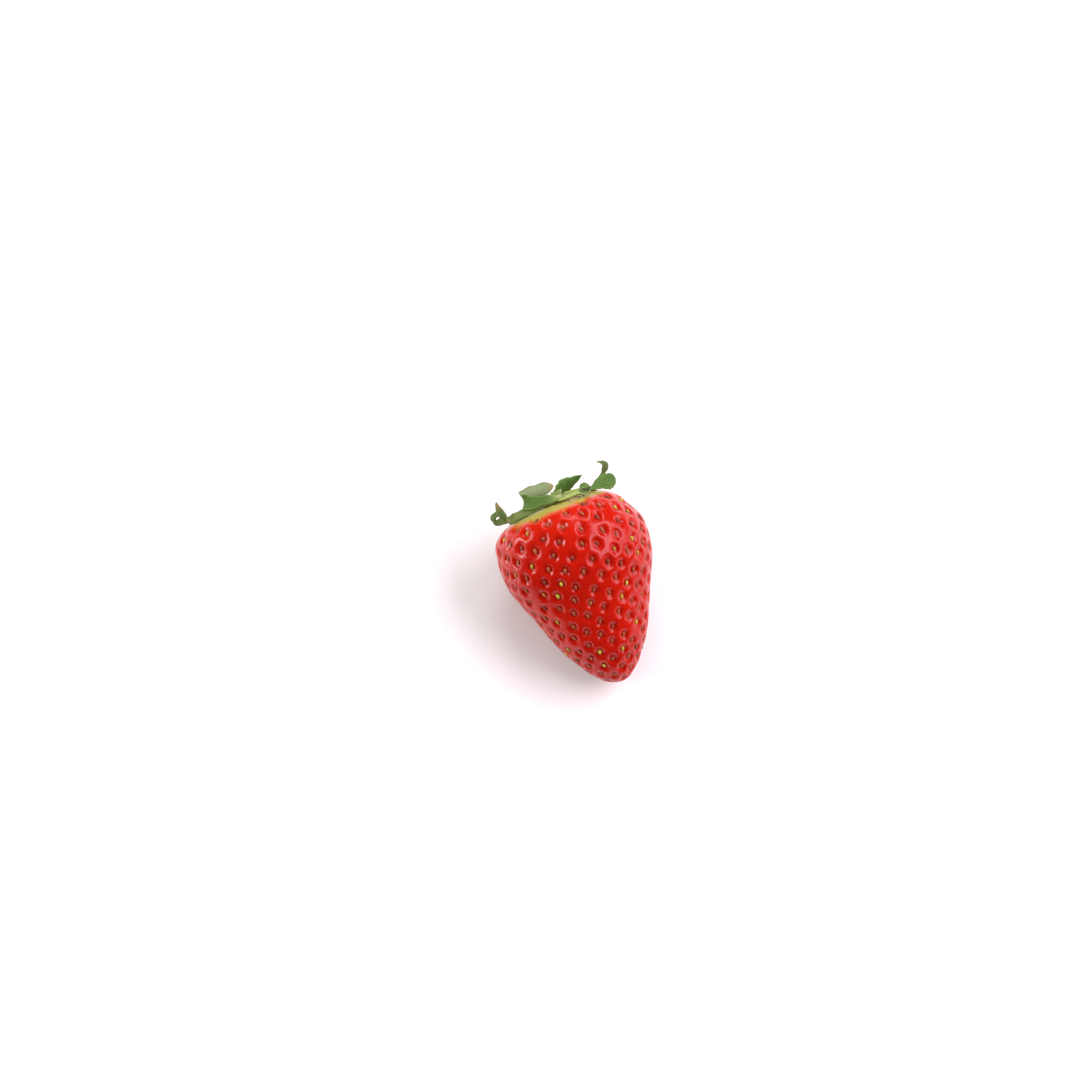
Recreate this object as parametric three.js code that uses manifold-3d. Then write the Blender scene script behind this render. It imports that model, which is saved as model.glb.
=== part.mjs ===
// A ripe strawberry, picked with its leafy calyx and a stub of stalk, lying on its flank.
//
// Everything is built about the fruit's own axis: y runs up that axis from the tip to the seat of
// the calyx at y = 0, x to the fruit's right, and z out of the flank that ends up on top. The whole
// is then laid over onto a small flat spot of its lower flank. That spot's centre is the origin.

import * as THREE from "three";
import { NURBSCurve } from "three/addons/curves/NURBSCurve.js";
import { mergeVertices } from "three/addons/utils/BufferGeometryUtils.js";
import Module from "manifold-3d";

// Driving dimensions, in millimetres.
const FRUIT_LENGTH = 47.3; // tip to the seat of the calyx
const FRUIT_WIDTH = 38.4; // across the shoulders, from side to side
const FRUIT_DEPTH = 34.6; // across the shoulders, from the lower flank to the upper one
const TIP_LEAN = 1.25; // how far the tip leans to the right of the axis
const SHOULDER_LEAN = 0.9; // how far the shoulders swell to the left of the axis
const SHOULDER_RISE = 0.75; // how far the right shoulder rises, and the left one falls
const REST_SPOT_DEPTH = 0.4; // how deep the flat spot is pressed into the lower flank
const CALYX_RADIUS = 8.5;
const CALYX_THICKNESS = 0.9;
const STALK_DIAMETER = 2.6;
const STALK_HEIGHT = 1.0; // stub left above the calyx
const SEPAL_THICKNESS = 0.6;
const BRACTLET_THICKNESS = 0.5;
const LEAF_CUPPING = 0.08; // how far the edges of a leaf rise, as a share of its width
const CLEARANCE = 0.3; // left between pieces that touch

// How the leans are spread along the fruit. The spans are shares of its length, from the seat of the
// calyx; the power says how late on the way down the lean of the tip sets in.
const SHOULDER_SPAN = 0.22; // holds the lean of the shoulders
const RISE_SPAN = 0.3; // holds the difference between the two shoulders
const TIP_LEAN_POWER = 2.5;

// The straight part of the lower flank, which the fruit lies on, as shares of the skin's length.
const FLANK = [0.42, 0.74];

// Half of the fruit's outline, from the seat of the calyx round the shoulder and down to the tip:
// control points of a smooth curve, as [share of the half width, share of the length].
const OUTLINE = [
  [0, 0],
  [0.21, 0],
  [0.44, 0],
  [0.82, -0.057],
  [0.92, -0.127],
  [1.0, -0.207],
  [1.01, -0.364],
  [0.88, -0.474],
  [0.68, -0.668],
  [0.59, -0.77],
  [0.41, -0.89],
  [0.17, -1],
  [0, -1],
];

// The leaves that stand round the rim of the calyx. Each row of a leaf's spine is [angle in degrees,
// reach, lift, width]: angles run from the right (0) over the upper flank (90), the reach is counted
// along the skin from a clearance outside the calyx, and the lift from a clearance above the skin to
// the underside of a leaf that lies flat. The side is the way the leaf's width runs, round the axis
// if it is not given.
const SEPALS = {
  sepal_upper_left: {
    spine: [
      [100, 0, 0.9, 1.8],
      [113, 1.1, 1.6, 2.4],
      [131, 2.4, 2.6, 3.5],
      [138, 2, 3.6, 4.2],
      [138, 0.6, 4.1, 3.8],
      [125, -1.4, 3.9, 3],
      [96, -2.9, 3.6, 3],
    ],
    side: [0, -1, 0],
  },
  sepal_upper_right: {
    spine: [
      [94, 0.5, 0.1, 1.2],
      [80, 0.9, 0.3, 1.7],
      [65, 1, 0.5, 2],
      [58, 1.5, 0.2, 2.6],
      [52, 1.9, 0.4, 3],
      [48, 1.9, 1.2, 3.1],
      [51, 1.3, 2, 3],
      [57, 0.9, 1.7, 2.6],
    ],
    side: [0.15, 0.45, -0.9],
  },
  sepal_right: {
    spine: [
      [15, 0, 0.4, 1.6],
      [14, 1.4, 0.9, 2.6],
      [12, 2.8, 1.6, 4],
      [10, 4.2, 2.3, 4.8],
      [9, 5.4, 2.8, 3.6],
    ],
    side: [0.15, -0.85, 0.5],
  },
  sepal_lower_right: {
    spine: [
      [273, 0, 0.9, 1.8],
      [279, 0.3, 1.7, 2.8],
      [287, -0.2, 2.5, 3.7],
      [297, -0.2, 3.3, 3.4],
      [308, 0.2, 3.8, 2.4],
      [320, 1.2, 4.8, 0.4],
    ],
    side: [0.5, -0.85, -0.25],
  },
  sepal_lower_left: {
    spine: [
      [228, 0, 0.1, 4.4],
      [229, 3, 0.2, 5.2],
      [230, 6.5, 0.3, 6],
      [232, 9.5, 0.3, 4.4],
      [233, 12, 0.5, 1],
    ],
  },
};

const BRACTLETS = {
  bractlet_upper_left: {
    spine: [
      [117, 0.4, 0.5, 1.5],
      [129, 1.7, 0.7, 2],
      [142, 3, 0.9, 2.2],
      [156, 4.9, 1.3, 2.7],
      [161, 5.3, 3, 2.6],
      [163, 5, 5.2, 1.6],
      [163, 4.6, 6.7, 0.4],
    ],
    side: [-0.62, 0.55, -0.55],
  },
  bractlet_left: {
    spine: [
      [169, 0, 0.3, 1.4],
      [171, 2.8, 0.8, 1.9],
      [173, 5.2, 1.6, 2.3],
      [175, 6.3, 2.8, 2.6],
      [177, 5.9, 3.8, 2.4],
      [179, 5, 3.6, 1.9],
      [180, 4.8, 2.8, 1.4],
      [178, 5.4, 2.5, 0.8],
    ],
    side: [-0.2, 0.65, -0.75],
  },
  bractlet_right: {
    spine: [
      [352, 0, 0.4, 1.2],
      [355, 1.3, 1.9, 1.2],
      [357, 2.7, 3.6, 1.6],
      [1, 3.2, 5.1, 2.2],
      [6, 2.7, 6.3, 1.9],
      [10, 1.5, 6.8, 0.5],
    ],
    side: [0.75, -0.1, -0.65],
  },
  bractlet_lower_left: {
    spine: [
      [253, 0, 0.1, 2.4],
      [254, 3, 0.2, 2.9],
      [256, 6, 0.5, 2.4],
      [258, 8.6, 1.8, 0.6],
    ],
  },
  bractlet_lower_right: {
    spine: [
      [322, 0, 0.1, 2.6],
      [323, 3.2, 0.2, 3.1],
      [324, 6.4, 0.3, 2.5],
      [326, 9.2, 0.9, 0.6],
    ],
  },
};

const RED = { color: 0xb31a06, roughness: 0.3, metalness: 0 };
const LEAF_GREEN = { color: 0x55803a, roughness: 0.75, metalness: 0 };
const PALE_GREEN = { color: 0x8fa64a, roughness: 0.8, metalness: 0 };

const wasm = await Module();
wasm.setup();

// A geometry as a manifold-3d solid.
function solidOf(geometry) {
  const bare = geometry.clone();
  bare.deleteAttribute("normal");
  bare.deleteAttribute("uv");
  const merged = mergeVertices(bare, 1e-4);
  return new wasm.Manifold(
    new wasm.Mesh({
      numProp: 3,
      vertProperties: merged.attributes.position.array,
      triVerts: new Uint32Array(merged.index.array),
    }),
  );
}

// A manifold-3d solid as a geometry.
function geometryOf(solid) {
  const { vertProperties, triVerts } = solid.getMesh();
  const geometry = new THREE.BufferGeometry();
  geometry.setAttribute("position", new THREE.BufferAttribute(vertProperties, 3));
  geometry.setIndex(new THREE.BufferAttribute(triVerts, 1));
  geometry.computeVertexNormals();
  return geometry;
}

// A copy of a geometry with each vertex moved to move(x, y, z).
function reshaped(geometry, move) {
  const made = geometry.clone();
  const position = made.attributes.position;
  for (let i = 0; i < position.count; i++) {
    const to = move(position.getX(i), position.getY(i), position.getZ(i));
    position.setXYZ(i, to.x, to.y, to.z);
  }
  made.computeVertexNormals();
  return made;
}

// The fruit's outline as one cubic curve with clamped ends.
function outlineCurve() {
  const degree = 3;
  const points = OUTLINE.map(
    ([across, along]) => new THREE.Vector4((across * FRUIT_WIDTH) / 2, along * FRUIT_LENGTH, 0, 1),
  );
  const spans = points.length - degree;
  const inner = Array.from({ length: spans - 1 }, (_, i) => (i + 1) / spans);
  const knots = [...Array(degree + 1).fill(0), ...inner, ...Array(degree + 1).fill(1)];
  return new NURBSCurve(degree, knots, points);
}

const outline = outlineCurve();

// Where a point of the turned outline ends up on the real fruit: flattened from front to back,
// leaning to one side at the shoulders and to the other at the tip, with one shoulder higher.
function grown(radius, height, angle) {
  const shareDown = -height / FRUIT_LENGTH;
  const down = Math.max(shareDown, 0);
  const shoulder = Math.sin((Math.PI * Math.min(down, SHOULDER_SPAN)) / SHOULDER_SPAN) ** 2;
  const lean = TIP_LEAN * down ** TIP_LEAN_POWER - SHOULDER_LEAN * shoulder;
  const rise = SHOULDER_RISE * Math.max(1 - shareDown / RISE_SPAN, 0) ** 2;
  const x = radius * Math.cos(angle);
  const z = radius * Math.sin(angle);
  return new THREE.Vector3(
    x + lean,
    height + (rise * x) / (FRUIT_WIDTH / 2),
    (z * FRUIT_DEPTH) / FRUIT_WIDTH,
  );
}

// A point of the skin: an angle round the axis, and a distance along the outline from the seat.
function skin(angle, along) {
  const point = outline.getPointAt(along / outline.getLength());
  return grown(point.x, point.y, angle);
}

// A point off the skin at an angle in degrees, a distance along it from the seat, and a height.
function offSkin(degrees, along, height) {
  const step = 0.01;
  const angle = THREE.MathUtils.degToRad(degrees);
  const at = skin(angle, along);
  const down = skin(angle, along + step).sub(at);
  const round = skin(angle + step / along, along).sub(at);
  return at.addScaledVector(round.cross(down).normalize(), height);
}

// The direction round the axis, seen at the root of a leaf.
function roundAxis([[degrees]]) {
  const angle = THREE.MathUtils.degToRad(degrees);
  return [Math.sin(angle), 0, -Math.cos(angle)];
}

// A leaf's width at a share of its spine, between the widths of the rows on either side.
function widthAt(spine, share) {
  const at = share * (spine.length - 1);
  const row = Math.min(Math.floor(at), spine.length - 2);
  return THREE.MathUtils.lerp(spine[row][3], spine[row + 1][3], at - row);
}

// A leaf: a thin box bent along its spine and cupped across it.
function leaf({ spine, side = roundAxis(spine) }, thickness) {
  const path = new THREE.CatmullRomCurve3(
    spine.map(([degrees, reach, lift]) =>
      offSkin(degrees, CALYX_RADIUS + CLEARANCE + reach, CLEARANCE + thickness / 2 + lift),
    ),
  );
  const flat = new THREE.BoxGeometry(1, 1, 1, 4 * (spine.length - 1), 4, 1);
  return reshaped(flat, (x, y, z) => {
    const share = x + 0.5;
    const width = widthAt(spine, share);
    const ahead = path.getTangent(share);
    const across = new THREE.Vector3(...side).projectOnPlane(ahead).normalize();
    const out = ahead.clone().cross(across);
    const cupped = LEAF_CUPPING * width * (2 * y) ** 2;
    return path
      .getPoint(share)
      .addScaledVector(across, y * width)
      .addScaledVector(out, z * thickness + cupped);
  });
}

// The berry without its flat spot.
function wholeFruit() {
  const rings = 40;
  const spokes = 56;
  const pointsDown = outline.getSpacedPoints(rings);
  const profile = pointsDown.reverse().map(({ x, y }) => new THREE.Vector2(x, y));
  profile[0].x = 0;
  profile.at(-1).x = 0;
  const turned = new THREE.LatheGeometry(profile, spokes);
  return reshaped(turned, (x, y, z) => grown(Math.hypot(x, z), y, Math.atan2(z, x)));
}

// The disc that the leaves grow from: it follows the seat of the fruit, and thins to its rim.
function calyxBase() {
  const rimThickness = CALYX_THICKNESS / 2;
  const steps = 6;
  const spokes = 40;
  const under = [];
  const over = [];
  for (let i = 0; i <= steps; i++) {
    const share = i / steps;
    const { x, y } = outline.getPointAt((share * CALYX_RADIUS) / outline.getLength());
    const radius = i === 0 ? 0 : x;
    under.push(new THREE.Vector2(radius, y + CLEARANCE));
    over.push(
      new THREE.Vector2(
        radius,
        y + CLEARANCE + THREE.MathUtils.lerp(CALYX_THICKNESS, rimThickness, share ** 2),
      ),
    );
  }
  const turned = new THREE.LatheGeometry([...under, ...over.reverse()], spokes);
  return reshaped(turned, (x, y, z) => grown(Math.hypot(x, z), y, Math.atan2(z, x)));
}

// The stub of stalk, a little wider where it was picked off.
function stalkStub() {
  const foot = CALYX_THICKNESS + 2 * CLEARANCE;
  const radius = STALK_DIAMETER / 2;
  const stub = new THREE.CylinderGeometry(1.1 * radius, radius, STALK_HEIGHT, 20, 3);
  return stub.translate(0, foot + STALK_HEIGHT / 2, 0);
}

// How far the fruit leans over when it lies on its lower flank: the slope of that flank.
function lieAngle() {
  const [high, low] = FLANK.map((share) => skin(-Math.PI / 2, share * outline.getLength()));
  return Math.atan2(low.z - high.z, high.y - low.y);
}

// The height of the lowest point of a geometry once it is turned by a rotation.
function lowestPoint(geometry, rotation) {
  const turned = geometry.clone().applyMatrix4(rotation);
  turned.computeBoundingBox();
  return turned.boundingBox.min.z;
}

// The middle of the flat spot, from the vertices that lie on its plane.
function middleOfSpot(geometry, rotation, level) {
  const turned = geometry.clone().applyMatrix4(rotation);
  const box = new THREE.Box3();
  const point = new THREE.Vector3();
  const position = turned.attributes.position;
  for (let i = 0; i < position.count; i++) {
    point.fromBufferAttribute(position, i);
    if (Math.abs(point.z - level) < 1e-3) box.expandByPoint(point);
  }
  return box.getCenter(new THREE.Vector3()).setZ(level);
}

// The berry with the flat spot that it lies on, and where that spot's middle is.
function restedFruit(rotation) {
  const whole = wholeFruit();
  const level = lowestPoint(whole, rotation) + REST_SPOT_DEPTH;
  const side = 2 * FRUIT_LENGTH;
  const ground = new THREE.BoxGeometry(side, side, side).translate(0, 0, level - side / 2);
  ground.applyMatrix4(rotation.clone().invert());
  const geometry = geometryOf(solidOf(whole).subtract(solidOf(ground)));
  return { geometry, spot: middleOfSpot(geometry, rotation, level) };
}

function part(name, geometry, look) {
  const mesh = new THREE.Mesh(geometry, new THREE.MeshStandardMaterial(look));
  mesh.name = name;
  return mesh;
}

const angle = lieAngle();
const rotation = new THREE.Matrix4().makeRotationX(angle);
const fruit = restedFruit(rotation);

const strawberry = new THREE.Group();
strawberry.rotation.x = angle;
strawberry.position.copy(fruit.spot).negate();
strawberry.add(part("fruit", fruit.geometry, RED));
strawberry.add(part("calyx_base", calyxBase(), PALE_GREEN));
strawberry.add(part("stalk_stub", stalkStub(), PALE_GREEN));
for (const [name, shape] of Object.entries(SEPALS)) {
  strawberry.add(part(name, leaf(shape, SEPAL_THICKNESS), LEAF_GREEN));
}
for (const [name, shape] of Object.entries(BRACTLETS)) {
  strawberry.add(part(name, leaf(shape, BRACTLET_THICKNESS), LEAF_GREEN));
}

const root = new THREE.Group();
root.add(strawberry);

export default root;
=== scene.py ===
"""A ripe strawberry lying on its flank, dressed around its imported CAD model.

Shapes are worked out in millimetres about the berry's own axis: y runs up that axis from the tip to
the seat of the calyx at y = 0, x to the berry's right, and z out of its upper flank. `placed` lays
them over onto the flat spot that the CAD berry lies on and turns them into metres.
"""

import math

import bpy
import numpy as np
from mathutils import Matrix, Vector, noise


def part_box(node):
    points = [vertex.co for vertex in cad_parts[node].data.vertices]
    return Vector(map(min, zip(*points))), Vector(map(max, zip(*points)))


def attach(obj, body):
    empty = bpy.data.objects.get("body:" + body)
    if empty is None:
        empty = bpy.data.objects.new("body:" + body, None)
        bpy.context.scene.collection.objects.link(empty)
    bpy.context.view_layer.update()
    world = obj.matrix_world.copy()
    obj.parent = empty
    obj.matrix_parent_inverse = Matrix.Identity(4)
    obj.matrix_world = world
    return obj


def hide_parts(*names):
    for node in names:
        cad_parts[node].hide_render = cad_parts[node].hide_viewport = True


MM = 0.001
SEED = 11

# The berry, as in the CAD model.
FRUIT_LENGTH = 47.3
FRUIT_WIDTH = 38.4
FRUIT_DEPTH = 34.6
TIP_LEAN = 1.25
SHOULDER_LEAN = 0.9
SHOULDER_RISE = 0.75
SHOULDER_SPAN = 0.22
RISE_SPAN = 0.3
TIP_LEAN_POWER = 2.5
FLANK = (0.42, 0.74)
CALYX_RADIUS = 8.5
CALYX_THICKNESS = 0.9
STALK_DIAMETER = 2.6
STALK_HEIGHT = 1.0
SEPAL_THICKNESS = 0.6
BRACTLET_THICKNESS = 0.5
GAP = 0.3
OUTLINE = (
    (0, 0),
    (0.21, 0),
    (0.44, 0),
    (0.82, -0.057),
    (0.92, -0.127),
    (1.0, -0.207),
    (1.01, -0.364),
    (0.88, -0.474),
    (0.68, -0.668),
    (0.59, -0.77),
    (0.41, -0.89),
    (0.17, -1),
    (0, -1),
)

# Where a leaf lies on the calyx on its way out to the rim, and how wide it is, against its base.
ROOT_ALONG = (1.8, 4.6, 7.2)
ROOT_WIDTHS = (0.7, 1.4, 1.6)

YOUNG_GREEN = (0.36, 0.43, 0.10)  # of a leaf near its root

# The skin and its achenes.
SKIN_DIVISIONS = 127  # quads along each edge of the six patches of the skin
FIRST_ACHENES = 14.2  # along the skin from the seat
LAST_ACHENES = 0.8  # along the skin before the tip
ACHENE_SPACING = 4.2  # what the depth of a pit and the size of an achene are given for
PIT_RADIUS = 0.36  # as a share of the spacing there
PIT_DEPTH = 0.48
ACHENE_LENGTH = 1.3
ACHENE_WIDTH = 0.84
ACHENE_THICKNESS = 0.62
GOLDEN_ANGLE = math.pi * (3 - math.sqrt(5))

# The view: how far the berry's picture is tilted, and where its calyx lies in the square frame.
CAMERA_DISTANCE = 0.6
FRAME_SIDE = 0.270  # width of what the camera sees at the berry
CAMERA_AZIMUTH = -18.5
CAMERA_ELEVATION = 71.0
CALYX_IN_FRAME = (0.005, 0.00875)  # right of the frame's centre, and above it

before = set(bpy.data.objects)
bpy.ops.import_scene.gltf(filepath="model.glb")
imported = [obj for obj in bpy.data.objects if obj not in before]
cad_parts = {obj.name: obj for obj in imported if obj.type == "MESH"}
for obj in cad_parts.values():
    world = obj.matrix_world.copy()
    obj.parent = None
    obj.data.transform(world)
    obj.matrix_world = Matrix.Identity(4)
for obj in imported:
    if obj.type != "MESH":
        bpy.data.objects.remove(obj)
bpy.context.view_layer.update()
rng = np.random.default_rng(SEED)


# ---------------------------------------------------------------- the berry's form


def smoothstep(low, high, value):
    share = np.clip((value - low) / (high - low), 0, 1)
    return share * share * (3 - 2 * share)


def outline(count=4000):
    """Distance along the outline from the seat, with the radius and height there."""
    degree = 3
    points = np.array(OUTLINE) * (FRUIT_WIDTH / 2, FRUIT_LENGTH)
    inner = np.linspace(0, 1, len(points) - degree + 1)
    knots = np.concatenate([np.zeros(degree), inner, np.ones(degree)])
    at = np.linspace(0, 1 - 1e-12, count)
    basis = [
        ((low <= at) & (at < high)).astype(float) for low, high in zip(knots, knots[1:])
    ]
    for order in range(1, degree + 1):
        basis = [
            ramp(at, knots[i], knots[i + order]) * basis[i]
            + ramp(at, knots[i + order + 1], knots[i + 1]) * basis[i + 1]
            for i in range(len(basis) - 1)
        ]
    radius, height = (np.array(basis).T @ points).T
    along = np.concatenate([[0], np.cumsum(np.hypot(np.diff(radius), np.diff(height)))])
    return along, radius, height


def ramp(at, start, end):
    """Rises from 0 at start to 1 at end, and is 0 where the two are the same."""
    return (at - start) / (end - start) if end != start else np.zeros_like(at)


ALONG, RADIUS, HEIGHT = outline()
SKIN_LENGTH = ALONG[-1]


def grown(radius, height, angle):
    """Where a point of the turned outline ends up: flattened, leaning, one shoulder higher."""
    down = np.maximum(-height / FRUIT_LENGTH, 0)
    shoulder = np.sin(np.pi * np.minimum(down, SHOULDER_SPAN) / SHOULDER_SPAN) ** 2
    lean = TIP_LEAN * down**TIP_LEAN_POWER - SHOULDER_LEAN * shoulder
    rise = SHOULDER_RISE * np.maximum(1 - down / RISE_SPAN, 0) ** 2
    x = radius * np.cos(angle)
    z = radius * np.sin(angle) * FRUIT_DEPTH / FRUIT_WIDTH
    return np.stack([x + lean, height + rise * x / (FRUIT_WIDTH / 2), z], axis=-1)


def skin(angle, along):
    return grown(np.interp(along, ALONG, RADIUS), np.interp(along, ALONG, HEIGHT), angle)


def unit(vectors):
    return vectors / np.maximum(np.linalg.norm(vectors, axis=-1, keepdims=True), 1e-12)


def skin_frame(angle, along):
    """A point of the skin, with the directions down the skin, round it and out of it."""
    step = 0.02
    here = skin(angle, along)
    down = unit(skin(angle, along + step) - skin(angle, along - step))
    turn = step / np.maximum(np.interp(along, ALONG, RADIUS), 0.5)
    around = unit(skin(angle + turn, along) - skin(angle - turn, along))
    return here, down, around, unit(np.cross(around, down))


def lie_angle():
    """The slope of the lower flank, which the berry is laid over by."""
    high, low = (skin(-np.pi / 2, share * SKIN_LENGTH) for share in FLANK)
    return math.atan2(low[2] - high[2], high[1] - low[1])


def turned(points):
    """Points about the berry's axis, laid over but not yet moved into place."""
    sine, cosine = math.sin(LIE_ANGLE), math.cos(LIE_ANGLE)
    x, y, z = np.moveaxis(np.asarray(points, float), -1, 0)
    return np.stack([x, y * cosine - z * sine, y * sine + z * cosine], axis=-1)


def place_of_axis():
    """The row's place of the seat, in millimetres: the CAD berry's box fits round the skin."""
    angle, along = np.meshgrid(np.linspace(0, 2 * np.pi, 241), np.linspace(0, SKIN_LENGTH, 241))
    points = turned(skin(angle, along)).reshape(-1, 3)
    low, high = (np.array(corner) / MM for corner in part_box("fruit"))
    middle = (low + high) / 2 - (points.min(0) + points.max(0)) / 2
    return np.array([middle[0], middle[1], high[2] - points[:, 2].max()])


LIE_ANGLE = lie_angle()
SEAT = place_of_axis()


def placed(points):
    """Points about the berry's axis in millimetres, in the row frame in metres."""
    return (turned(points) + SEAT) * MM


def off_skin(spot):
    """A point off the skin: [angle in degrees, reach past the calyx along the skin, lift]."""
    degrees, reach, lift = spot
    here, _, _, outward = skin_frame(np.radians(degrees), CALYX_RADIUS + reach)
    return here + outward * lift


# ---------------------------------------------------------------- meshes and materials


def new_piece(name, points, faces, material, stands_for=()):
    """A smooth mesh from points about the berry's axis, riding on the berry's body."""
    mesh = bpy.data.meshes.new(name)
    mesh.from_pydata(placed(points).tolist(), [], [list(face) for face in faces])
    mesh.polygons.foreach_set("use_smooth", [True] * len(mesh.polygons))
    mesh.materials.append(material)
    mesh.validate()
    mesh.update()
    piece = bpy.data.objects.new(name, mesh)
    bpy.context.scene.collection.objects.link(piece)
    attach(piece, "root")
    if stands_for:
        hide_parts(*stands_for)
    return piece


def paint(piece, **values):
    """Keeps one number for each vertex, for the material to read."""
    for name, numbers in values.items():
        layer = piece.data.attributes.new(name, "FLOAT", "POINT")
        layer.data.foreach_set("value", np.asarray(numbers, np.float32).ravel())


class Shader:
    """A material's nodes, with short ways to add to them."""

    def __init__(self, name, **settings):
        self.material = bpy.data.materials.new(name)
        self.material.use_nodes = True
        self.nodes = self.material.node_tree.nodes
        self.links = self.material.node_tree.links
        self.surface = self.nodes["Principled BSDF"]
        for socket, value in settings.items():
            self.surface.inputs[socket.replace("_", " ")].default_value = value
        self.place = self.nodes.new("ShaderNodeTexCoord").outputs["Object"]

    def join(self, source, socket):
        if hasattr(source, "is_linked"):
            self.links.new(source, socket)
        else:
            socket.default_value = source

    def attribute(self, name):
        node = self.nodes.new("ShaderNodeAttribute")
        node.attribute_name = name
        return node.outputs["Fac"]

    def noise(self, size, detail=2.0, roughness=0.5, distortion=0.0):
        """Noise with features of about this size in millimetres."""
        node = self.nodes.new("ShaderNodeTexNoise")
        self.links.new(self.place, node.inputs["Vector"])
        node.inputs["Scale"].default_value = 1 / (size * MM)
        node.inputs["Detail"].default_value = detail
        node.inputs["Roughness"].default_value = roughness
        node.inputs["Distortion"].default_value = distortion
        return node.outputs["Fac"]

    def math(self, operation, first, second=0.0, clamp=False):
        node = self.nodes.new("ShaderNodeMath")
        node.operation = operation
        node.use_clamp = clamp
        self.join(first, node.inputs[0])
        self.join(second, node.inputs[1])
        return node.outputs[0]

    def between(self, value, low, high, to_low=0.0, to_high=1.0):
        """Value eased from one range to another."""
        node = self.nodes.new("ShaderNodeMapRange")
        node.interpolation_type = "SMOOTHSTEP"
        self.join(value, node.inputs["Value"])
        node.inputs["From Min"].default_value = low
        node.inputs["From Max"].default_value = high
        node.inputs["To Min"].default_value = to_low
        node.inputs["To Max"].default_value = to_high
        return node.outputs["Result"]

    def mix(self, share, first, second):
        node = self.nodes.new("ShaderNodeMix")
        node.data_type = "RGBA"
        self.join(share, node.inputs["Factor"])
        colours = [socket for socket in node.inputs if socket.type == "RGBA"]
        for colour, socket in zip((first, second), colours):
            self.join((*colour, 1) if isinstance(colour, tuple) else colour, socket)
        return next(socket for socket in node.outputs if socket.type == "RGBA")

    def bump(self, height, distance, strength=1.0):
        """Fine relief: the height runs over this distance in millimetres."""
        node = self.nodes.new("ShaderNodeBump")
        node.inputs["Strength"].default_value = strength
        node.inputs["Distance"].default_value = distance * MM
        self.join(height, node.inputs["Height"])
        self.links.new(node.outputs["Normal"], self.surface.inputs["Normal"])

    def set(self, socket, source):
        self.join(source, self.surface.inputs[socket])


def skin_material():
    """Glossy red skin: yellow-green at the neck, darker in the pits as painted shade, paler over the
    shoulder.
    """
    shader = Shader(
        "strawberry_skin",
        IOR=1.36,
        Specular_IOR_Level=0.42,
        Coat_Weight=0.22,
        Coat_Roughness=0.05,
        Coat_IOR=1.32,
        Subsurface_Weight=0.2,
        Subsurface_Scale=0.0020,
    )
    shader.surface.inputs["Subsurface Radius"].default_value = (1.0, 0.12, 0.05)
    mottle = shader.noise(6.0, 3.0, 0.55)
    fine = shader.noise(0.5, 2.0, 0.5)
    body = shader.mix(mottle, (0.36, 0.0045, 0.0008), (0.52, 0.0085, 0.0012))
    shoulder = shader.between(shader.attribute("along"), 0.42, 0.10)
    colour = shader.mix(shader.math("MULTIPLY", shoulder, 0.7), body, (0.62, 0.018, 0.0040))
    # painted shade: the red is darkened by how deep in its pit each point of the skin lies
    colour = shader.mix(
        shader.math("MULTIPLY", shader.attribute("pit"), 0.45), colour, (0.32, 0.0035, 0.0008)
    )
    unripe = shader.between(mottle, 0.25, 0.75, 0.6, 1.3)
    neck = shader.math("MULTIPLY", shader.attribute("neck"), unripe)
    edge = shader.between(neck, 0.05, 0.55)
    colour = shader.mix(edge, colour, (0.52, 0.12, 0.018))
    colour = shader.mix(shader.between(neck, 0.4, 0.95), colour, (0.37, 0.33, 0.055))
    shader.set("Base Color", colour)
    gloss = shader.between(fine, 0.3, 0.7, 0.15, 0.25)
    shader.set("Roughness", shader.math("ADD", gloss, shader.math("MULTIPLY", neck, 0.3)))
    grain = shader.math("ADD", shader.noise(0.9, 2.0), shader.math("MULTIPLY", fine, 0.35))
    shader.bump(grain, 0.06)
    return shader.material


def achene_material():
    """Dull seed coats, most red-brown and some still lime, with darker patches here and there."""
    shader = Shader("achene_coat", IOR=1.45, Subsurface_Weight=0.1, Subsurface_Scale=0.0006)
    tone = shader.attribute("tone")
    colour = shader.mix(
        shader.between(tone, 0.0, 0.55), (0.20, 0.028, 0.007), (0.36, 0.085, 0.022)
    )
    colour = shader.mix(shader.between(tone, 0.80, 0.84), colour, (0.42, 0.30, 0.025))
    colour = shader.mix(shader.between(tone, 0.88, 0.94), colour, (0.50, 0.48, 0.040))
    colour = shader.mix(
        shader.between(shader.noise(0.35, 2.0), 0.45, 0.75, 0.0, 0.6), colour, (0.16, 0.03, 0.008)
    )
    shader.set("Base Color", colour)
    shader.set("Roughness", shader.between(shader.noise(0.25), 0.3, 0.7, 0.32, 0.5))
    shader.bump(shader.noise(0.16, 2.0), 0.03)
    return shader.material


def shades(colour, *factors):
    """Darker and lighter forms of a colour."""
    return [tuple(factor * part for part in colour) for factor in factors]


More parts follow.
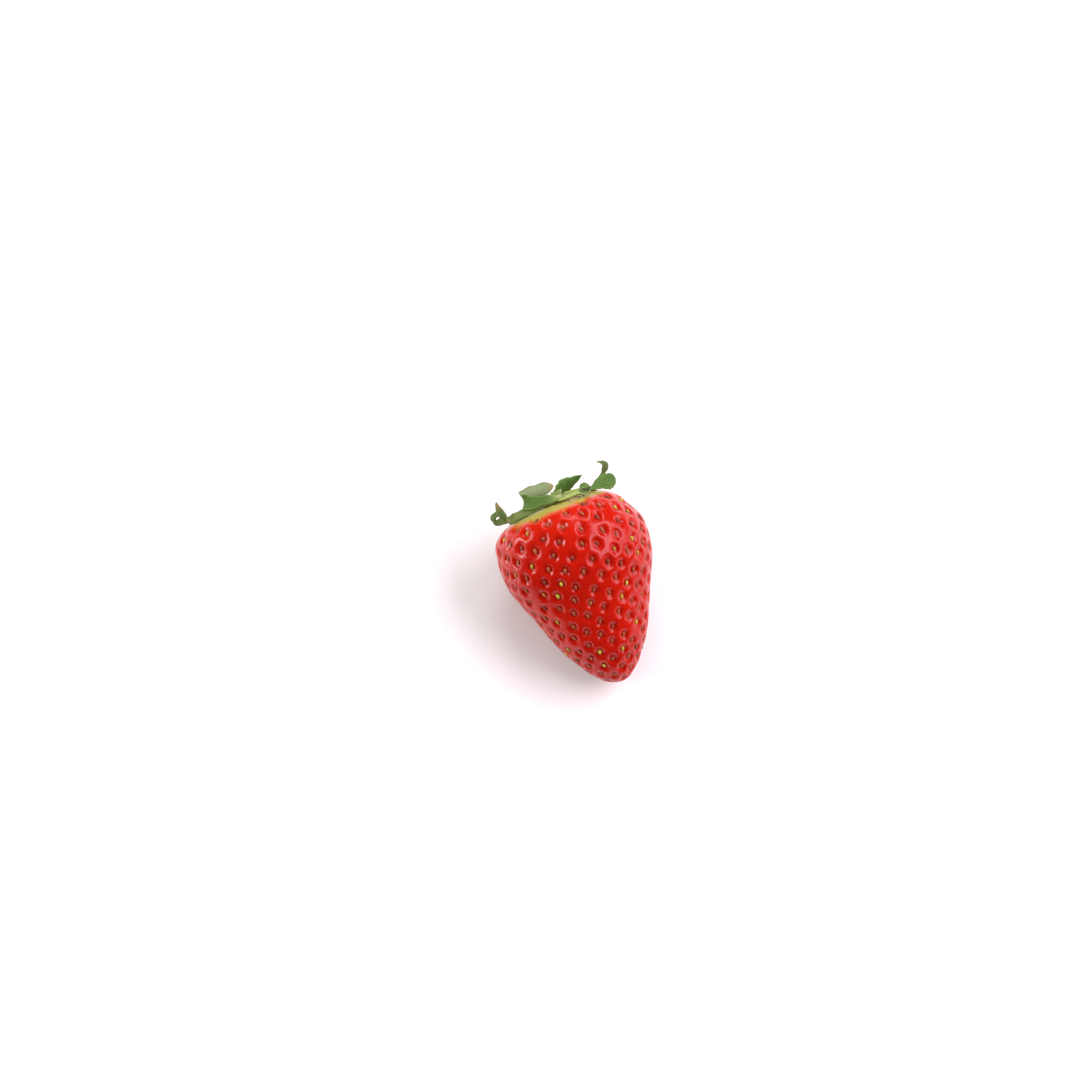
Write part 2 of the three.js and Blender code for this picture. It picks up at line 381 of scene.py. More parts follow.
def leaf_material(name, upper, under, vein):
    """A leaf: upper and under side, pale veins, young root and dry tip, with fine cell relief."""
    shader = Shader(
        name,
        IOR=1.35,
        Specular_IOR_Level=0.35,
        Subsurface_Weight=0.08,
        Subsurface_Scale=0.0006,
    )
    shader.surface.inputs["Subsurface Radius"].default_value = (0.4, 1.0, 0.2)
    patches = shader.noise(2.2, 3.0, 0.6)
    cells = shader.noise(0.28, 3.0, 0.6)
    upper_side = shader.mix(patches, *shades(upper, 0.62, 1.3))
    under_side = shader.mix(patches, *shades(under, 0.8, 1.15))
    colour = shader.mix(shader.attribute("under"), upper_side, under_side)
    colour = shader.mix(shader.math("MULTIPLY", shader.attribute("vein"), 0.75), colour, vein)
    young = shader.math("MULTIPLY", shader.attribute("young"), 0.75)
    colour = shader.mix(young, colour, YOUNG_GREEN)
    worn = shader.between(cells, 0.3, 0.6, 0.3, 1.0)
    edge = shader.math("MULTIPLY", shader.attribute("edge"), worn)
    edge_colour = shader.mix(shader.attribute("under"), *shades(vein, 1.2), upper)
    colour = shader.mix(shader.math("MULTIPLY", edge, 0.7), colour, edge_colour)
    dry = shader.between(
        shader.math("ADD", shader.attribute("dry"), shader.math("MULTIPLY", patches, 0.4)), 0.75, 1.15
    )
    colour = shader.mix(dry, colour, (0.30, 0.20, 0.09))
    shader.set("Base Color", colour)
    shader.set("Roughness", shader.between(cells, 0.3, 0.7, 0.42, 0.65))
    shader.bump(shader.math("ADD", cells, shader.math("MULTIPLY", patches, 0.3)), 0.06)
    return shader.material


def stamen_material():
    """Withered brown-black threads."""
    shader = Shader("withered_stamen", IOR=1.4)
    patches = shader.noise(0.5, 2.0)
    shader.set("Base Color", shader.mix(patches, (0.045, 0.020, 0.008), (0.19, 0.10, 0.035)))
    shader.set("Roughness", shader.between(patches, 0.3, 0.7, 0.55, 0.8))
    shader.bump(shader.noise(0.1), 0.02)
    return shader.material


# ---------------------------------------------------------------- skin and achenes


def achene_seats():
    """Angle, distance along the skin and spacing of each achene, wound on at the golden angle."""
    along = np.linspace(FIRST_ACHENES, SKIN_LENGTH - LAST_ACHENES, 4000)
    shares = along / SKIN_LENGTH
    spacing = np.interp(shares, (0.18, 0.32, 0.6, 0.86, 1.0), (4.9, 4.4, 4.1, 3.6, 3.3))
    round_skin = 2 * np.pi * np.interp(along, ALONG, RADIUS) * (1 + FRUIT_DEPTH / FRUIT_WIDTH) / 2
    held = np.cumsum(round_skin / (0.866 * spacing**2)) * (along[1] - along[0])
    turns = np.arange(int(held[-1])) + 0.5
    seat_along = np.interp(turns, held, along) + rng.normal(0, 0.40, len(turns))
    seat_spacing = np.interp(seat_along, along, spacing)
    drift = rng.normal(0, 0.40, len(turns)) / np.maximum(np.interp(seat_along, ALONG, RADIUS), 2)
    return spread(turns * GOLDEN_ANGLE + drift, seat_along, seat_spacing)


def spread(angle, along, spacing):
    """Seats pushed apart until hardly any two are closer than most of their spacing."""
    for _ in range(12):
        places = skin(angle, along)
        away = places[:, None] - places
        distance = np.linalg.norm(away, axis=-1) + 1e9 * np.eye(len(angle))
        push = np.clip(0.86 * spacing[:, None] / distance - 1, 0, 0.3)
        moved = 0.5 * np.sum(away * push[..., None], axis=1)
        _, down, around, _ = skin_frame(angle, along)
        radius = np.maximum(np.interp(along, ALONG, RADIUS), 2)
        angle = angle + np.sum(moved * around, -1) / radius
        along = np.clip(along + np.sum(moved * down, -1), FIRST_ACHENES, SKIN_LENGTH - LAST_ACHENES)
    return angle, along, spacing


def skin_patches(divisions):
    """Directions and quads of a sphere made of six patches, with shared vertices merged."""
    steps = np.tan(np.linspace(-np.pi / 4, np.pi / 4, divisions + 1))
    across, up = np.meshgrid(steps, steps, indexing="ij")
    ones = np.ones_like(across)
    patches = []
    for axis in range(3):
        for side in (1, -1):
            patch = np.empty((*across.shape, 3))
            patch[..., axis] = side * ones
            patch[..., (axis + 1) % 3] = across * side
            patch[..., (axis + 2) % 3] = up
            patches.append(patch.reshape(-1, 3))
    points = unit(np.concatenate(patches))
    row = divisions + 1
    corner = (np.arange(divisions)[:, None] * row + np.arange(divisions)).ravel()
    quads = np.stack([corner, corner + row, corner + row + 1, corner + 1], axis=1)
    quads = np.concatenate([quads + patch * row * row for patch in range(6)])
    _, first, merged = np.unique(np.round(points, 6), axis=0, return_index=True, return_inverse=True)
    return points[first], merged.ravel()[quads]


def vertex_normals(points, quads):
    """Outward normals from the faces round each vertex."""
    a, b, c, d = (points[quads[:, corner]] for corner in range(4))
    crossed = np.cross(c - a, d - b)
    normals = np.zeros_like(points)
    for corner in range(4):
        np.add.at(normals, quads[:, corner], crossed)
    return unit(normals)


def pit_relief(points, seats):
    """How far each point of the skin stands off its smooth form, and how deep in a pit it is."""
    angle, along, spacing = seats
    centre, down, around, _ = skin_frame(angle, along)
    radius = PIT_RADIUS * spacing * rng.uniform(0.9, 1.08, len(spacing))
    depth = PIT_DEPTH * rng.uniform(0.85, 1.15, len(spacing)) * (spacing / ACHENE_SPACING)
    relief = np.empty(len(points))
    bowl = np.empty(len(points))
    for part in np.array_split(np.arange(len(points)), 24):
        away = points[part][:, None] - centre
        lengthwise = np.sum(away * down, -1) / 1.12
        crosswise = np.sum(away * around, -1) / 0.94
        through = np.sum(away * np.cross(around, down), -1)
        distance = np.sqrt(lengthwise**2 + crosswise**2 + through**2) / radius
        wall = 1 - smoothstep(0.30, 1.08, distance)
        lip = np.exp(-(((distance - 1.18) / 0.26) ** 2))
        nearest = distance.min(1)
        pillow = 0.12 * smoothstep(1.0, 1.7, nearest)
        relief[part] = pillow + 0.07 * np.minimum(lip.sum(1), 1) - (wall * depth).sum(1)
        bowl[part] = wall.max(1)
    return relief, bowl


def lumps(points):
    """Slow unevenness of the whole berry."""
    return np.array([0.45 * noise.noise(Vector(point) / 11.0) for point in points])


def make_skin(seats):
    """The pitted skin, with how deep in a pit, how far along and how near the neck each point is."""
    directions, quads = skin_patches(SKIN_DIVISIONS)
    fall = np.arccos(np.clip(directions[:, 1], -1, 1))
    along = fall / np.pi * SKIN_LENGTH
    angle = np.arctan2(directions[:, 2], directions[:, 0])
    smooth = skin(angle, along)
    outward = vertex_normals(smooth, quads)
    if np.sum(outward[:, 1] * directions[:, 1]) < 0:  # the quads wind inwards
        quads = quads[:, ::-1]
        outward = -outward
    relief, bowl = pit_relief(smooth, seats)
    fade = smoothstep(CALYX_RADIUS - 2, CALYX_RADIUS + 1, along)
    points = smooth + outward * ((relief + lumps(smooth)) * fade)[:, None]
    piece = new_piece("fruit_skin", points, quads, SKIN, ["fruit"])
    rest_on_floor(piece)
    band = 6.0 + 3.0 * np.cos(angle - 2.2) + 0.5 * np.sin(3 * angle + 1.0)
    neck = 1 - smoothstep(0.35, 1.0, (along - CALYX_RADIUS) / np.maximum(band, 0.8))
    # the pit depth also sets the painted shade that darkens the skin in the pits
    paint(piece, pit=bowl, along=along / SKIN_LENGTH, neck=neck)


def rest_on_floor(piece):
    """Presses whatever would reach through the resting surface flat against it."""
    mesh = piece.data
    places = np.empty(len(mesh.vertices) * 3)
    mesh.vertices.foreach_get("co", places)
    places = places.reshape(-1, 3)
    places[:, 2] = np.maximum(places[:, 2], 0)
    mesh.vertices.foreach_set("co", places.ravel())
    mesh.update()


def sphere(rows, columns):
    """Directions and faces of a small sphere whose poles lie on x."""
    tilt = np.linspace(0, np.pi, rows + 1)[1:-1]
    turn = np.linspace(0, 2 * np.pi, columns, endpoint=False)
    tilt, turn = np.meshgrid(tilt, turn, indexing="ij")
    rings = np.stack([np.cos(tilt), np.sin(tilt) * np.cos(turn), np.sin(tilt) * np.sin(turn)], -1)
    points = np.concatenate([[[1, 0, 0]], rings.reshape(-1, 3), [[-1, 0, 0]]])
    faces = []
    last = len(points) - 1
    for column in range(columns):
        following = (column + 1) % columns
        faces.append((0, 1 + column, 1 + following))
        for row in range(rows - 2):
            start = 1 + row * columns
            faces.append(
                (start + column, start + columns + column, start + columns + following, start + following)
            )
        start = 1 + (rows - 2) * columns
        faces.append((last, start + following, start + column))
    return points, faces


def make_achenes(seats):
    """Every achene as its own small egg, sunk in its pit with the point towards the tip."""
    angle, along, spacing = seats
    centre, down, around, outward = skin_frame(angle, along)
    ball, ball_faces = sphere(10, 12)
    taper = 1 - 0.30 * ball[:, 0] - 0.12 * ball[:, 0] ** 2
    points, faces, tones = [], [], []
    for i in range(len(angle)):
        grow = (spacing[i] / ACHENE_SPACING) ** 0.5 * rng.uniform(0.9, 1.1)
        slant = rng.normal(0, 0.22)
        lengthways = down[i] * math.cos(slant) + around[i] * math.sin(slant)
        sideways = np.cross(outward[i], lengthways)
        sunk = (PIT_DEPTH - 0.12) * (spacing[i] / ACHENE_SPACING)
        shape = (
            ball[:, :1] * lengthways * ACHENE_LENGTH / 2
            + (ball[:, 1] * taper)[:, None] * sideways * ACHENE_WIDTH / 2
            + (ball[:, 2] * taper)[:, None] * outward[i] * ACHENE_THICKNESS / 2
        )
        middle = centre[i] - outward[i] * sunk
        faces.extend(tuple(len(points) * len(ball) + corner for corner in face) for face in ball_faces)
        points.append(middle + shape * grow)
        tones.append(np.full(len(ball), rng.uniform()))
    points = np.concatenate(points)
    lowest = (turned(points) + SEAT)[:, 2].reshape(len(angle), -1).min(1)
    lift = np.repeat(np.maximum(0.03 - lowest, 0), len(ball))
    points = points + lift[:, None] * up_about_axis()
    piece = new_piece("achenes", points, faces, ACHENE)
    paint(piece, tone=np.concatenate(tones))


def up_about_axis():
    """The row frame's up, about the berry's axis."""
    return np.array([0, math.sin(LIE_ANGLE), math.cos(LIE_ANGLE)])


# ---------------------------------------------------------------- calyx and leaves

# Each row of a leaf is a point of its spine: an angle round the axis, from the right (0) over the
# upper flank (90), the reach past the rim of the calyx along the skin, the lift off the skin, and
# the leaf's width there. The side is the way its width runs, round the axis if not given. The wave
# is how far its edges swing, dry how withered its tip is, and pale the share of its length that is
# still young green. A leaf that is turned over shows its under side on top, and tucked rows go on
# from the last one of the spine.
SEPALS = {
    "sepal_upper_left": dict(
        spine=(
            (100, 0.0, 0.9, 1.8),
            (113, 1.1, 1.6, 2.4),
            (131, 2.4, 2.6, 3.5),
            (138, 2.0, 3.6, 4.2),
            (138, 0.6, 4.1, 3.8),
            (125, -1.4, 3.9, 3.0),
            (96, -2.9, 3.6, 3.0),
        ),
        side=(0, -1, 0),
        wave=0.16,
        dry=0.25,
    ),
    "sepal_upper_right": dict(
        spine=(
            (94, 0.5, 0.1, 1.2),
            (80, 0.9, 0.3, 1.7),
            (65, 1.0, 0.5, 2.0),
            (58, 1.5, 0.2, 2.6),
            (52, 1.9, 0.4, 3.0),
            (48, 1.9, 1.2, 3.1),
            (51, 1.3, 2.0, 3.0),
            (57, 0.9, 1.7, 2.6),
        ),
        tucked=((58, 1.0, 0.9, 2.3), (54, 1.5, 0.7, 1.9), (52, 1.5, 1.2, 1.4)),
        side=(0.15, 0.45, -0.9),
        wave=0.08,
        dry=0.1,
        pale=0.75,
        turned_over=True,
    ),
    "sepal_right": dict(
        spine=(
            (15, 0.0, 0.4, 1.6),
            (14, 1.4, 0.9, 2.6),
            (12, 2.8, 1.6, 4.0),
            (10, 4.2, 2.3, 4.8),
            (9, 5.4, 2.8, 3.6),
        ),
        side=(0.15, -0.85, 0.5),
        wave=0.12,
        dry=0.2,
        turned_over=True,
    ),
    "sepal_lower_right": dict(
        spine=(
            (273, 0.0, 0.9, 1.8),
            (279, 0.3, 1.7, 2.8),
            (287, -0.2, 2.5, 3.7),
            (297, -0.2, 3.3, 3.4),
            (308, 0.2, 3.8, 2.4),
            (320, 1.2, 4.8, 0.4),
        ),
        side=(0.5, -0.85, -0.25),
        wave=0.15,
        dry=0.1,
        turned_over=True,
    ),
    "sepal_lower_left": dict(
        spine=(
            (228, 0.0, 0.1, 4.4),
            (229, 3.0, 0.2, 5.2),
            (230, 6.5, 0.3, 6.0),
            (232, 9.5, 0.3, 4.4),
            (233, 12.0, 0.5, 1.0),
        ),
        wave=0.2,
        dry=0.1,
    ),
}
BRACTLETS = {
    "bractlet_upper_left": dict(
        spine=(
            (117, 0.4, 0.5, 1.5),
            (129, 1.7, 0.7, 2.0),
            (142, 3.0, 0.9, 2.2),
            (156, 4.9, 1.3, 2.7),
            (161, 5.3, 3.0, 2.6),
            (163, 5.0, 5.2, 1.6),
            (163, 4.6, 6.7, 0.4),
        ),
        side=(-0.62, 0.55, -0.55),
        wave=0.08,
        dry=0.35,
    ),
    "bractlet_left": dict(
        spine=(
            (169, 0.0, 0.3, 1.4),
            (171, 2.8, 0.8, 1.9),
            (173, 5.2, 1.6, 2.3),
            (175, 6.3, 2.8, 2.6),
            (177, 5.9, 3.8, 2.4),
            (179, 5.0, 3.6, 1.9),
            (180, 4.8, 2.8, 1.4),
            (178, 5.4, 2.5, 0.8),
        ),
        side=(-0.2, 0.65, -0.75),
        wave=0.05,
        dry=0.3,
    ),
    "bractlet_right": dict(
        spine=(
            (352, 0.0, 0.4, 1.2),
            (355, 1.3, 1.9, 1.2),
            (357, 2.7, 3.6, 1.6),
            (1, 3.2, 5.1, 2.2),
            (6, 2.7, 6.3, 1.9),
            (10, 1.5, 6.8, 0.5),
        ),
        side=(0.75, -0.1, -0.65),
        wave=0.08,
        dry=0.1,
        turned_over=True,
    ),
    "bractlet_lower_left": dict(
        spine=(
            (253, 0.0, 0.1, 2.4),
            (254, 3.0, 0.2, 2.9),
            (256, 6.0, 0.5, 2.4),
            (258, 8.6, 1.8, 0.6),
        ),
        wave=0.1,
        dry=0.2,
    ),
    "bractlet_lower_right": dict(
        spine=(
            (322, 0.0, 0.1, 2.6),
            (323, 3.2, 0.2, 3.1),
            (324, 6.4, 0.3, 2.5),
            (326, 9.2, 0.9, 0.6),
        ),
        wave=0.1,
        dry=0.15,
    ),
}


def through(points, steps):
    """A smooth curve through points of any number of columns, with this many steps a stretch."""
    points = np.asarray(points, float)
    padded = np.concatenate([[2 * points[0] - points[1]], points, [2 * points[-1] - points[-2]]])
    share = np.linspace(0, 1, steps, endpoint=False)[:, None]
    stretches = [
        0.5
        * (
            2 * b
            + (c - a) * share
            + (2 * a - 5 * b + 4 * c - d) * share**2
            + (3 * b - a - 3 * c + d) * share**3
        )
        for a, b, c, d in zip(padded, padded[1:], padded[2:], padded[3:])
    ]
    return np.concatenate([*stretches, points[-1:]])


def leaf_spine(leaf, thickness):
    """Points, directions of the width and widths along a leaf, from beside the stalk to its tip."""
    rows = (*leaf["spine"], *leaf.get("tucked", ()))
    degrees, _, _, width = rows[0]
    angle = math.radians(degrees)
    around = np.array([math.sin(angle), 0, -math.cos(angle)])
    side = np.array(leaf.get("side", around), float)
    root_side = around if around @ side >= 0 else -around
    table = []
    for along, root_width in zip(ROOT_ALONG, ROOT_WIDTHS):
        above = GAP + calyx_thickness(along / CALYX_RADIUS) + thickness / 4
        spot = skin(angle, along) + np.array([0, above, 0])
        table.append([*spot, *root_side, root_width * width])
    for row, turn in zip(rows, (0.5, *[1] * (len(rows) - 1))):
        spot = off_skin((row[0], row[1] + GAP, row[2] + GAP + thickness / 2))
        table.append([*spot, *(root_side * (1 - turn) + unit(side) * turn), row[3]])
    return table


def calyx_thickness(share):
    """How thick the calyx is at a share of the way out to its rim."""
    return CALYX_THICKNESS * (1 - 0.5 * share**2)


def make_leaf(name, leaf, material, thickness):
    """A leaf as a closed, cupped sheet with veins, wavy edges and a rounded tip."""
    along_steps, across_steps = 12, 16
    rows = through(leaf_spine(leaf, thickness), along_steps)
    middle, side, width = rows[:, :3], rows[:, 3:6], np.maximum(rows[:, 6], 0.2)
    share = np.linspace(0, 1, len(rows))
    ahead = unit(np.gradient(middle, axis=0))
    side = unit(side - ahead * np.sum(ahead * side, -1, keepdims=True))
    out = np.cross(ahead, side)
    phase = rng.uniform(0, 2 * math.pi, 3)
    ragged = 1 + 0.07 * np.sin(23 * share + phase[0]) + 0.06 * np.sin(61 * share + phase[1])
    rounding = np.sqrt(np.clip(1 - np.clip((share - 0.93) / 0.07, 0, 1) ** 2, 0.03, 1))
    half = width / 2 * ragged * rounding
    across = np.linspace(-1, 1, across_steps + 1)
    grid_share, grid_across = np.meshgrid(share, across, indexing="ij")
    ribs = sum(np.exp(-(((np.abs(grid_across) - rib) / 0.07) ** 2)) for rib in (0.0, 0.36, 0.70))
    rib_shade = np.clip(ribs, 0, 1) * (1 - 0.6 * grid_share)
    wander = 0.5 * np.sin(17 * grid_share + phase[0]) + 0.3 * np.sin(5 * grid_across + phase[1])
    slanted = grid_share * 13 - 2.4 * np.abs(grid_across) + wander
    cross_veins = 0.5 + 0.5 * np.cos(2 * math.pi * slanted)
    cupped = 0.16 * half[:, None] * grid_across**2
    swing = np.sin(11 * grid_share + 1.3 * grid_across + phase[2])
    waved = leaf["wave"] * np.abs(grid_across) ** 2 * swing * smoothstep(0.3, 0.6, grid_share)
    relief = cupped + waved - 0.07 * rib_shade - 0.02 * cross_veins**4
    sheet = middle[:, None] + side[:, None] * (grid_across * half[:, None])[..., None]
    sheet = sheet + out[:, None] * relief[..., None]
    thin = thickness / 2 * (1 - 0.7 * np.abs(grid_across) ** 3) * (1 - 0.35 * grid_share)
    upper = sheet + out[:, None] * thin[..., None]
    under = sheet - out[:, None] * (thin + 0.12 * np.clip(ribs, 0, 1) * thin)[..., None]
    points = np.concatenate([upper.reshape(-1, 3), under.reshape(-1, 3)])
    faces = closed_sheet(len(share), across_steps + 1)
    piece = new_piece(name + "_leaf", points, faces, material, [name])
    sides_under = [1.0, 0.0] if leaf.get("turned_over") else [0.0, 1.0]
    both_sides = {
        "vein": np.clip(rib_shade + 0.22 * cross_veins**6, 0, 1),
        "edge": np.abs(grid_across) ** 6,
        "dry": leaf["dry"] * grid_share**3 * 3,
        "young": 1 - smoothstep(0.4, 1.0, grid_share / leaf.get("pale", 0.45)),
    }
    paint(
        piece,
        **{key: np.tile(layer.ravel(), 2) for key, layer in both_sides.items()},
        under=np.repeat(sides_under, grid_share.size),
    )


def closed_sheet(rows, columns):
    """Faces of two grids of points, one above the other, closed round their edge."""
    corner = (np.arange(rows - 1)[:, None] * columns + np.arange(columns - 1)).ravel()
    quads = np.stack([corner, corner + columns, corner + columns + 1, corner + 1], axis=1)
    below = rows * columns
    rim = [
        *range(columns),
        *range(2 * columns - 1, rows * columns, columns),
        *range(rows * columns - 2, (rows - 1) * columns - 1, -1),
        *range((rows - 2) * columns, 0, -columns),
    ]
    walls = [
        (rim[i], rim[(i + 1) % len(rim)], rim[(i + 1) % len(rim)] + below, rim[i] + below)
        for i in range(len(rim))
    ]
    return [*map(tuple, quads.tolist()), *map(tuple, (quads[:, ::-1] + below).tolist()), *walls]


def make_calyx_base():
    """The disc that the leaves grow from, with a rib towards each of them."""
    rings, spokes = 18, 120
    angle = np.linspace(0, 2 * np.pi, spokes, endpoint=False)
    share = np.linspace(0, 1, rings + 1)[1:]
    grid_share, grid_angle = np.meshgrid(share, angle, indexing="ij")
    ribs = np.zeros_like(grid_angle)
    for leaf in (*SEPALS.values(), *BRACTLETS.values()):
        turn = grid_angle - math.radians(leaf["spine"][0][0])
        ribs += np.exp(-((np.sin(turn / 2) / 0.11) ** 2))
    ribs = np.clip(ribs, 0, 1)
    scallop = 1.6 * (ribs - 1) * smoothstep(0.6, 1.0, grid_share)
    here = skin(grid_angle, grid_share * CALYX_RADIUS + scallop)
    thickness = calyx_thickness(grid_share) + 0.1 * ribs * smoothstep(0.3, 0.9, grid_share)
    top = here + np.array([0, 1, 0]) * (GAP + thickness)[..., None]
    bottom = here + np.array([0, GAP - 0.25, 0])
    seat = skin(0.0, 0.0)
    points = np.concatenate(
        [[seat + [0, GAP + CALYX_THICKNESS, 0]], top.reshape(-1, 3), bottom.reshape(-1, 3), [seat]]
    )
    faces = wheel(rings, spokes)
    piece = new_piece("calyx_disc", points, faces, CALYX, ["calyx_base"])
    shade = np.concatenate([[0], ribs.ravel(), ribs.ravel(), [0]])
    paint(
        piece,
        vein=shade,
        edge=np.zeros(len(points)),
        dry=0.25 + 0.15 * (1 - shade),
        under=np.zeros(len(points)),
    )


def wheel(rings, spokes):
    """Faces of two discs of rings, one above the other, joined round their rim."""
    faces = []
    below = rings * spokes
    last = 2 * below + 1
    for spoke in range(spokes):
        following = (spoke + 1) % spokes
        faces.append((0, 1 + following, 1 + spoke))
        faces.append((last, 1 + below + spoke, 1 + below + following))
        for ring in range(rings - 1):
            start = 1 + ring * spokes
            quad = (start + spoke, start + following, start + spokes + following, start + spokes + spoke)
            faces.append(quad)
            faces.append(tuple(corner + below for corner in reversed(quad)))
        rim = 1 + (rings - 1) * spokes
        faces.append((rim + spoke, rim + following, rim + following + below, rim + spoke + below))
    return faces


def make_stalk_stub():
    """The stub of stalk: ribbed, flared to the break, with a dished, fibrous end."""
    rings, spokes = 14, 48
    angle = np.linspace(0, 2 * np.pi, spokes, endpoint=False)
    foot = CALYX_THICKNESS + 2 * GAP - 0.5
    share = np.linspace(0, 1, rings)
    grid_share, grid_angle = np.meshgrid(share, angle, indexing="ij")
    flare = 1 + 0.1 * grid_share**2 + 0.35 * (1 - smoothstep(0, 0.35, grid_share))
    radius = STALK_DIAMETER / 2 * flare * (1 + 0.05 * np.sin(7 * grid_angle + 2 * grid_share))
    torn = 0.22 * np.sin(5 * grid_angle + 1) + 0.14 * np.sin(11 * grid_angle)
    height = foot + (STALK_HEIGHT + 0.5) * grid_share + torn * grid_share**4
    wall = np.stack([radius * np.cos(grid_angle), height, radius * np.sin(grid_angle)], -1)
    inner = []
    for shrink, sink in ((0.86, 0.02), (0.6, 0.22), (0.3, 0.3)):
        ring = wall[-1] * [shrink, 1, shrink]
        inner.append(ring - [0, sink, 0])
    points = np.concatenate([wall.reshape(-1, 3), *inner, [[0, foot + STALK_HEIGHT, 0]], [[0, foot, 0]]])
    levels = rings + len(inner)
    faces = []
    for spoke in range(spokes):
        following = (spoke + 1) % spokes
        for level in range(levels - 1):
            start = level * spokes
            faces.append(
                (start + spoke, start + spokes + spoke, start + spokes + following, start + following)
            )
        top = (levels - 1) * spokes
        faces.append((top + spoke, len(points) - 2, top + following))
        faces.append((spoke, following, len(points) - 1))
    piece = new_piece("stalk_end", points, faces, STALK, ["stalk_stub"])
    plain = np.zeros(len(points))
    broken = np.concatenate([np.zeros(rings * spokes), np.ones(len(inner) * spokes + 1), [0]])
    paint(piece, vein=plain, edge=plain, dry=0.2 + 0.5 * broken, under=plain)


def thread(points, radius, sides=6):
    """A closed, tapering thread along points, as vertices and faces."""
    points = np.asarray(points, float)
    ahead = unit(np.gradient(points, axis=0))
    side = unit(np.cross(ahead, [0.31, 0.22, 0.92]))
    out = np.cross(ahead, side)
    turn = np.linspace(0, 2 * np.pi, sides, endpoint=False)
    ring = side[:, None] * np.cos(turn)[:, None] + out[:, None] * np.sin(turn)[:, None]
    vertices = (points[:, None] + ring * np.asarray(radius)[:, None, None]).reshape(-1, 3)
    faces = []
    for start in range(0, (len(points) - 1) * sides, sides):
        for i in range(sides):
            following = (i + 1) % sides
            faces.append((start + i, start + following, start + sides + following, start + sides + i))
    last = (len(points) - 1) * sides
    faces.append(tuple(reversed(range(sides))))
    faces.append(tuple(last + i for i in range(sides)))
    return vertices, faces


def make_dried_stamens():
    """Withered stamens on the neck, just outside the calyx: bent threads with a dark knob."""
    stamens = 30
    points, faces, count = [], [], 0
    for turn in np.linspace(0, 360, stamens, endpoint=False):
        degrees = turn + rng.uniform(-6, 6)
        length = rng.uniform(0.7, 2.2)
        bend = rng.uniform(-6, 6)
        rows = [
            off_skin((degrees + bend * share**2, 0.2 + length * share, 0.22 - 0.10 * share))
            for share in np.linspace(0, 1, 7)
        ]
        radius = np.array([0.09, 0.08, 0.06, 0.06, 0.11, 0.15, 0.06]) * rng.uniform(0.7, 1.4)
        vertices, thread_faces = thread(rows, radius)
        faces.extend(tuple(corner + count for corner in face) for face in thread_faces)
        points.append(vertices)
        count += len(vertices)
    new_piece("dried_stamens", np.concatenate(points), faces, STAMEN)


# ---------------------------------------------------------------- floor, camera and lights


def make_floor():
    """A wide, matt, nearly white sheet."""
    bpy.ops.mesh.primitive_plane_add(size=6, location=(0, 0, 0))
    floor = bpy.context.object
    floor.name = "floor"
    shader = Shader("floor_paper", Roughness=0.9, Specular_IOR_Level=0.0)
    tint = shader.noise(400.0, 2.0)
    shader.set("Base Color", shader.mix(tint, (0.86, 0.86, 0.86), (0.88, 0.88, 0.88)))
    floor.data.materials.append(shader.material)


def make_camera():
    """Looks down on the berry, with the calyx a little off the frame's centre."""
    azimuth, elevation = math.radians(CAMERA_AZIMUTH), math.radians(CAMERA_ELEVATION)
    back = Vector(
        (
            math.sin(azimuth) * math.cos(elevation),
            -math.cos(azimuth) * math.cos(elevation),
            math.sin(elevation),
        )
    )
    right = Vector((math.cos(azimuth), math.sin(azimuth), 0))
    up = back.cross(right)
    seat = Vector(placed([0, -1.0, 0]))
    target = seat - right * CALYX_IN_FRAME[0] - up * CALYX_IN_FRAME[1]
    data = bpy.data.cameras.new("camera")
    data.sensor_width = 36
    data.lens = data.sensor_width * CAMERA_DISTANCE / FRAME_SIDE
    camera = bpy.data.objects.new("camera", data)
    bpy.context.scene.collection.objects.link(camera)
    camera.location = target + back * CAMERA_DISTANCE
    camera.rotation_mode = "QUATERNION"
    camera.rotation_quaternion = (-back).to_track_quat("-Z", "Y")
    bpy.context.scene.camera = camera


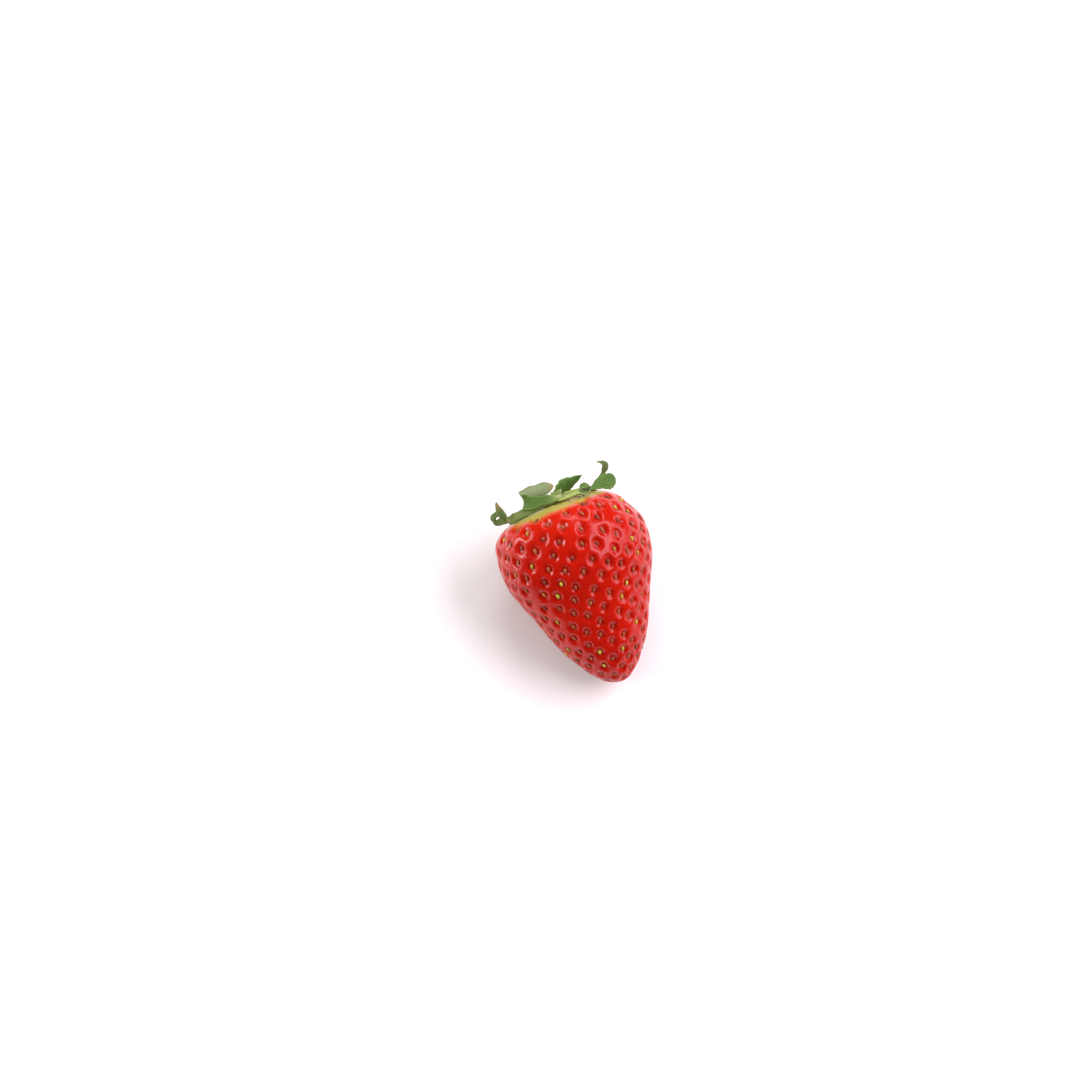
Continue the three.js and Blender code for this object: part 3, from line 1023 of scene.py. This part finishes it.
def softbox(name, azimuth, elevation, distance, size, power, colour=(1, 1, 1)):
    """A square light aimed at the berry, from this azimuth and elevation about it."""
    a, e = math.radians(azimuth), math.radians(elevation)
    towards = Vector((math.sin(a) * math.cos(e), -math.cos(a) * math.cos(e), math.sin(e)))
    data = bpy.data.lights.new(name, "AREA")
    data.shape = "RECTANGLE"
    data.size, data.size_y = size
    data.energy = power
    data.color = colour
    light = bpy.data.objects.new(name, data)
    bpy.context.scene.collection.objects.link(light)
    light.location = Vector((0, -0.005, 0.018)) + towards * distance
    light.rotation_mode = "QUATERNION"
    light.rotation_quaternion = (-towards).to_track_quat("-Z", "Y")


def make_lights():
    """Four softboxes round the berry, and an even white world that gloss does not mirror."""
    softbox("key_softbox", 160, 43, 0.7, (0.34, 0.20), 1.3)
    softbox("pink_softbox", 84, 49, 0.6, (0.62, 0.34), 4.0, (1.0, 0.84, 0.92))
    softbox("right_softbox", 84, 20, 0.7, (0.34, 0.24), 0.8, (1.0, 0.90, 0.92))
    softbox("left_softbox", 246, 19, 0.7, (0.30, 0.36), 3.7)
    world = bpy.data.worlds.new("studio")
    bpy.context.scene.world = world
    world.use_nodes = True
    world.node_tree.nodes["Background"].inputs["Color"].default_value = (1, 1, 1, 1)
    world.node_tree.nodes["Background"].inputs["Strength"].default_value = 0.46
    world.cycles_visibility.glossy = False
    bpy.context.scene.view_settings.view_transform = "Standard"


# ---------------------------------------------------------------- everything together

SKIN = skin_material()
ACHENE = achene_material()
SEPAL = leaf_material("sepal_leaf", (0.050, 0.125, 0.021), (0.22, 0.28, 0.145), (0.21, 0.32, 0.075))
BRACTLET = leaf_material(
    "bractlet_leaf", (0.052, 0.110, 0.024), (0.145, 0.195, 0.046), (0.23, 0.28, 0.075)
)
CALYX = leaf_material("calyx_flesh", (0.20, 0.27, 0.055), (0.20, 0.27, 0.055), (0.34, 0.40, 0.10))
STALK = leaf_material("stalk_flesh", (0.28, 0.34, 0.11), (0.28, 0.34, 0.11), (0.42, 0.46, 0.18))
STAMEN = stamen_material()

seats = achene_seats()
make_skin(seats)
make_achenes(seats)
make_calyx_base()
make_stalk_stub()
for name, leaf in SEPALS.items():
    make_leaf(name, leaf, SEPAL, SEPAL_THICKNESS)
for name, leaf in BRACTLETS.items():
    make_leaf(name, leaf, BRACTLET, BRACTLET_THICKNESS)
make_dried_stamens()
make_floor()
make_camera()
make_lights()
